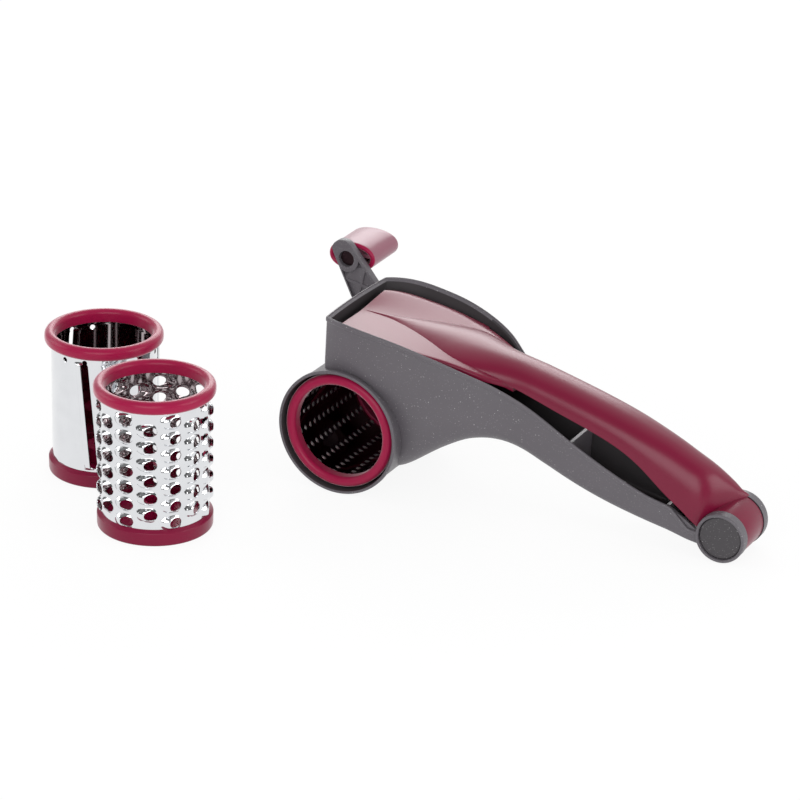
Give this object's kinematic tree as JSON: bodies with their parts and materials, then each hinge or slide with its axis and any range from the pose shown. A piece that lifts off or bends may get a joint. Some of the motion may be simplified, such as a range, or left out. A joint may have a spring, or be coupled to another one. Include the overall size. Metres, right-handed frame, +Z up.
{
  "type": "rotary cabbage shredder",
  "caption": "Hand-cranked drum grater with a presser lever, a crank with a turning knob, an installed fine drum and spare coarse and slicing drums.",
  "frame": {"origin": "on the table, under the middle of the box round the grater and both spare drums", "axes": "+X from the drum's end of the grater towards the pivot of its grip, +Y along the drum's axis from the open mouth to the crank, +Z up"},
  "size_m": [0.318, 0.1956, 0.0902],
  "materials": {
    "grey_plastic": "matt, fine light flecks",
    "burgundy_plastic": "glossy",
    "polished_steel": "mirror polished",
    "pin_steel": "satin"
  },
  "bodies": {
    "housing": {"body_shell": "grey_plastic", "pivot_pin": "pin_steel", "pivot_cap_near": "grey_plastic", "pivot_cap_far": "grey_plastic"},
    "lever": {"lever_shell": "burgundy_plastic", "presser_block": "burgundy_plastic"},
    "crank": {"drive_spindle": "grey_plastic", "crank_arm": "grey_plastic", "crank_screw": "pin_steel", "knob_spindle": "pin_steel"},
    "knob": {"knob_shell": "burgundy_plastic"},
    "fine_drum": {"fine_drum_sleeve": "polished_steel", "fine_drum_front_ring": "burgundy_plastic", "fine_drum_base_ring": "burgundy_plastic"},
    "coarse_drum": {"coarse_drum_sleeve": "polished_steel", "coarse_drum_front_ring": "burgundy_plastic", "coarse_drum_base_ring": "burgundy_plastic"},
    "slicer_drum": {"slicer_drum_sleeve": "polished_steel", "slicer_drum_front_ring": "burgundy_plastic", "slicer_drum_base_ring": "burgundy_plastic"}
  },
  "joints": [
    {"name": "lever_hinge", "type": "hinge", "parent": "housing", "child": "lever", "pos_m": [0.1478, 0.0278, 0.0112], "axis": [0, 1, 0], "range_deg": [0, 110]},
    {"name": "crank_turn", "type": "hinge", "parent": "housing", "child": "crank", "pos_m": [-0.0292, 0.0704, 0.02906], "axis": [0, 1, 0], "continuous": true},
    {"name": "knob_spin", "type": "hinge", "parent": "crank", "child": "knob", "pos_m": [-0.06371, 0.08735, 0.08141], "axis": [0, 1, 0], "continuous": true},
    {"name": "fine_drum_slide", "type": "slide", "parent": "crank", "child": "fine_drum", "axis": [0, -1, 0], "range_m": [0, 0.08]},
    {"name": "coarse_drum_lift", "type": "slide", "parent": "housing", "child": "coarse_drum", "axis": [0, 0, 1], "range_m": [0, 0.1]},
    {"name": "slicer_drum_lift", "type": "slide", "parent": "housing", "child": "slicer_drum", "axis": [0, 0, 1], "range_m": [0, 0.1]}
  ]
}
